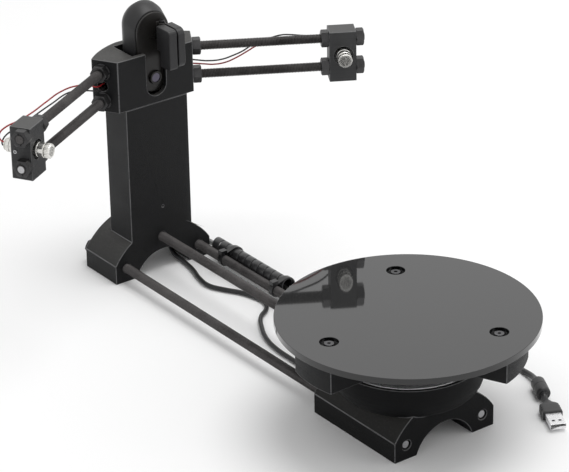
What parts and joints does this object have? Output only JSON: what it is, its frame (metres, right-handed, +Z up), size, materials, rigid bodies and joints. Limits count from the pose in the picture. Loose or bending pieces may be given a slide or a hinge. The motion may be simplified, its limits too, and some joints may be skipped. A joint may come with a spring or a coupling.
{
  "type": "desktop 3d scanner",
  "caption": "Open-frame desktop scanner: motor-driven turntable on a ball bearing, threaded-rod base, column with a portrait camera and two line lasers on angled arms.",
  "frame": {"origin": "middle of the footprint on the table: halfway between the disc's front edge and the rod ends behind the column", "axes": "+Z up, +X to the right seen from the turntable's end, +Y from the turntable to the column"},
  "size_m": [0.3414, 0.4952, 0.235],
  "materials": {
    "printed_black": "matt printed plastic with fine layer lines",
    "gloss_black": "glossy black sheet",
    "black_rod": "black oxide steel, threaded",
    "black_nut": "black oxide steel",
    "bearing_steel": "polished steel",
    "cage_brass": "pressed brass",
    "motor_aluminium": "cast and machined aluminium",
    "stator_steel": "black laminated steel",
    "screw_steel": "zinc plated steel",
    "laser_metal": "bright turned metal",
    "lens_glass": "coated glass",
    "connector_white": "off-white nylon",
    "camera_plastic": "fine-grained black plastic",
    "camera_gloss": "glossy black plastic",
    "board_green": "green circuit board",
    "board_blue": "blue circuit board",
    "red_lead": "red wire insulation",
    "black_lead": "black cable jacket",
    "tie_nylon": "black nylon",
    "wrap_black": "black spiral cable wrap",
    "plug_black": "moulded black plastic"
  },
  "bodies": {
    "root": {"front_foot": "printed_black", "bearing_outer_ring": "bearing_steel", "motor_front_cap": "motor_aluminium", "motor_stator": "stator_steel", "motor_rear_cap": "motor_aluminium", "motor_screws": "screw_steel", "motor_socket": "connector_white", "rod_left": "black_rod", "rod_right": "black_rod", "rod_middle": "black_rod", "base_nuts": "black_nut", "base_washers": "black_nut", "column": "printed_black", "head_block": "printed_black", "head_screws": "screw_steel", "arm_rods_left": "black_rod", "arm_rods_right": "black_rod", "arm_nuts": "black_nut", "laser_holder_left": "printed_black", "laser_holder_right": "printed_black", "laser_set_screws": "screw_steel", "red_leads": "red_lead", "black_leads": "black_lead", "camera_shell": "camera_plastic", "camera_front": "camera_gloss", "camera_lens_barrel": "camera_gloss", "camera_lens": "lens_glass", "camera_board": "board_green", "clip_pin": "camera_plastic", "controller_board": "board_blue", "driver_board": "board_green", "heat_sink": "motor_aluminium", "usb_socket": "bearing_steel", "board_screws": "screw_steel", "cable_ties": "tie_nylon", "cable_wrap": "wrap_black", "motor_lead": "black_lead", "usb_lead": "black_lead", "usb_board_plug": "plug_black", "ferrite_bead": "plug_black", "usb_plug_body": "plug_black", "usb_plug_shell": "bearing_steel"},
    "turntable": {"turntable_disc": "gloss_black", "disc_holder": "printed_black", "disc_screws": "screw_steel", "bearing_inner_ring": "bearing_steel", "motor_rotor": "stator_steel"},
    "ball_cage": {"bearing_balls": "bearing_steel", "bearing_cage": "cage_brass"},
    "laser_left": {"laser_barrel_left": "laser_metal", "laser_tail_left": "connector_white"},
    "laser_right": {"laser_barrel_right": "laser_metal", "laser_tail_right": "connector_white"},
    "focus_left": {"laser_focus_ring_left": "laser_metal", "laser_lens_left": "lens_glass"},
    "focus_right": {"laser_focus_ring_right": "laser_metal", "laser_lens_right": "lens_glass"},
    "clip_leaf_left": {"clip_left": "camera_plastic"},
    "clip_leaf_right": {"clip_right": "camera_plastic"},
    "button": {"reset_button": "connector_white"}
  },
  "joints": [
    {"name": "turntable_spin", "type": "hinge", "parent": "root", "child": "turntable", "pos_m": [0, -0.1415, 0.052], "axis": [0, 0, 1], "continuous": true},
    {"name": "ball_cage_roll", "type": "hinge", "parent": "root", "child": "ball_cage", "pos_m": [0, -0.1415, 0.052], "axis": [0, 0, 1], "continuous": true},
    {"name": "laser_roll_left", "type": "hinge", "parent": "root", "child": "laser_left", "pos_m": [-0.15208, 0.13362, 0.173], "axis": [-0.5075, 0.8616, 0], "range_deg": [-45, 45]},
    {"name": "focus_turn_left", "type": "hinge", "parent": "laser_left", "child": "focus_left", "pos_m": [-0.14396, 0.11983, 0.173], "axis": [-0.5075, 0.8616, 0], "range_deg": [-150, 150]},
    {"name": "laser_roll_right", "type": "hinge", "parent": "root", "child": "laser_right", "pos_m": [0.15208, 0.13362, 0.173], "axis": [0.5075, 0.8616, 0], "range_deg": [-45, 45]},
    {"name": "focus_turn_right", "type": "hinge", "parent": "laser_right", "child": "focus_right", "pos_m": [0.14396, 0.11983, 0.173], "axis": [0.5075, 0.8616, 0], "range_deg": [-150, 150]},
    {"name": "clip_hinge_left", "type": "hinge", "parent": "root", "child": "clip_leaf_left", "pos_m": [0.0087, 0.1865, 0.207], "axis": [0, 0, 1], "range_deg": [-35, 0]},
    {"name": "clip_hinge_right", "type": "hinge", "parent": "root", "child": "clip_leaf_right", "pos_m": [0.0087, 0.1865, 0.213], "axis": [0, 0, 1], "range_deg": [0, 35]},
    {"name": "reset_press", "type": "slide", "parent": "root", "child": "button", "axis": [0, -1, 0], "range_m": [0, 0.00025], "stiffness_N_per_m": 400}
  ],
  "couplings": [
    {"joint": "ball_cage_roll", "follows": "turntable_spin", "ratio": 0.45}
  ]
}
